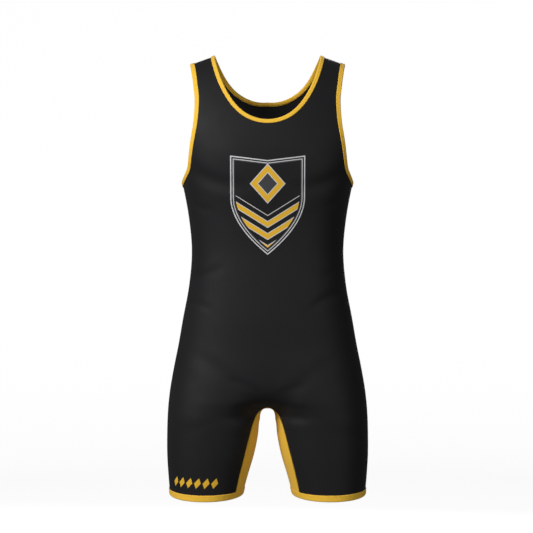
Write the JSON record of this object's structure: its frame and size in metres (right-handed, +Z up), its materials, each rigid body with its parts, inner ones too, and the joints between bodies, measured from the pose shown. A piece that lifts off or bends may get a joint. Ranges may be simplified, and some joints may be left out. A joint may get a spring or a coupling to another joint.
{
  "type": "wrestling singlet",
  "caption": "Sleeveless one-piece stretch suit with short legs, a round neck, bound edges and an inner-thigh gusset, hollow as worn",
  "frame": {"origin": "midway between the two shoulder seams, at their height, in the middle plane: where the wearer's shoulders hold the garment", "axes": "+Z up along the body, the chest faces -Y, +X is the wearer's left and the viewer's right"},
  "size_m": [0.3752, 0.24, 0.8207],
  "materials": {
    "black_jersey": "matt black warp-knit stretch jersey with a slight soft sheen",
    "yellow_jersey": "matt golden yellow stretch jersey"
  },
  "bodies": {
    "root": {"front_panel": "black_jersey", "back_panel": "black_jersey", "gusset": "yellow_jersey", "neck_binding": "yellow_jersey", "armhole_binding_left": "yellow_jersey", "armhole_binding_right": "yellow_jersey", "hem_band_left": "yellow_jersey", "hem_band_right": "yellow_jersey"}
  },
  "joints": []
}
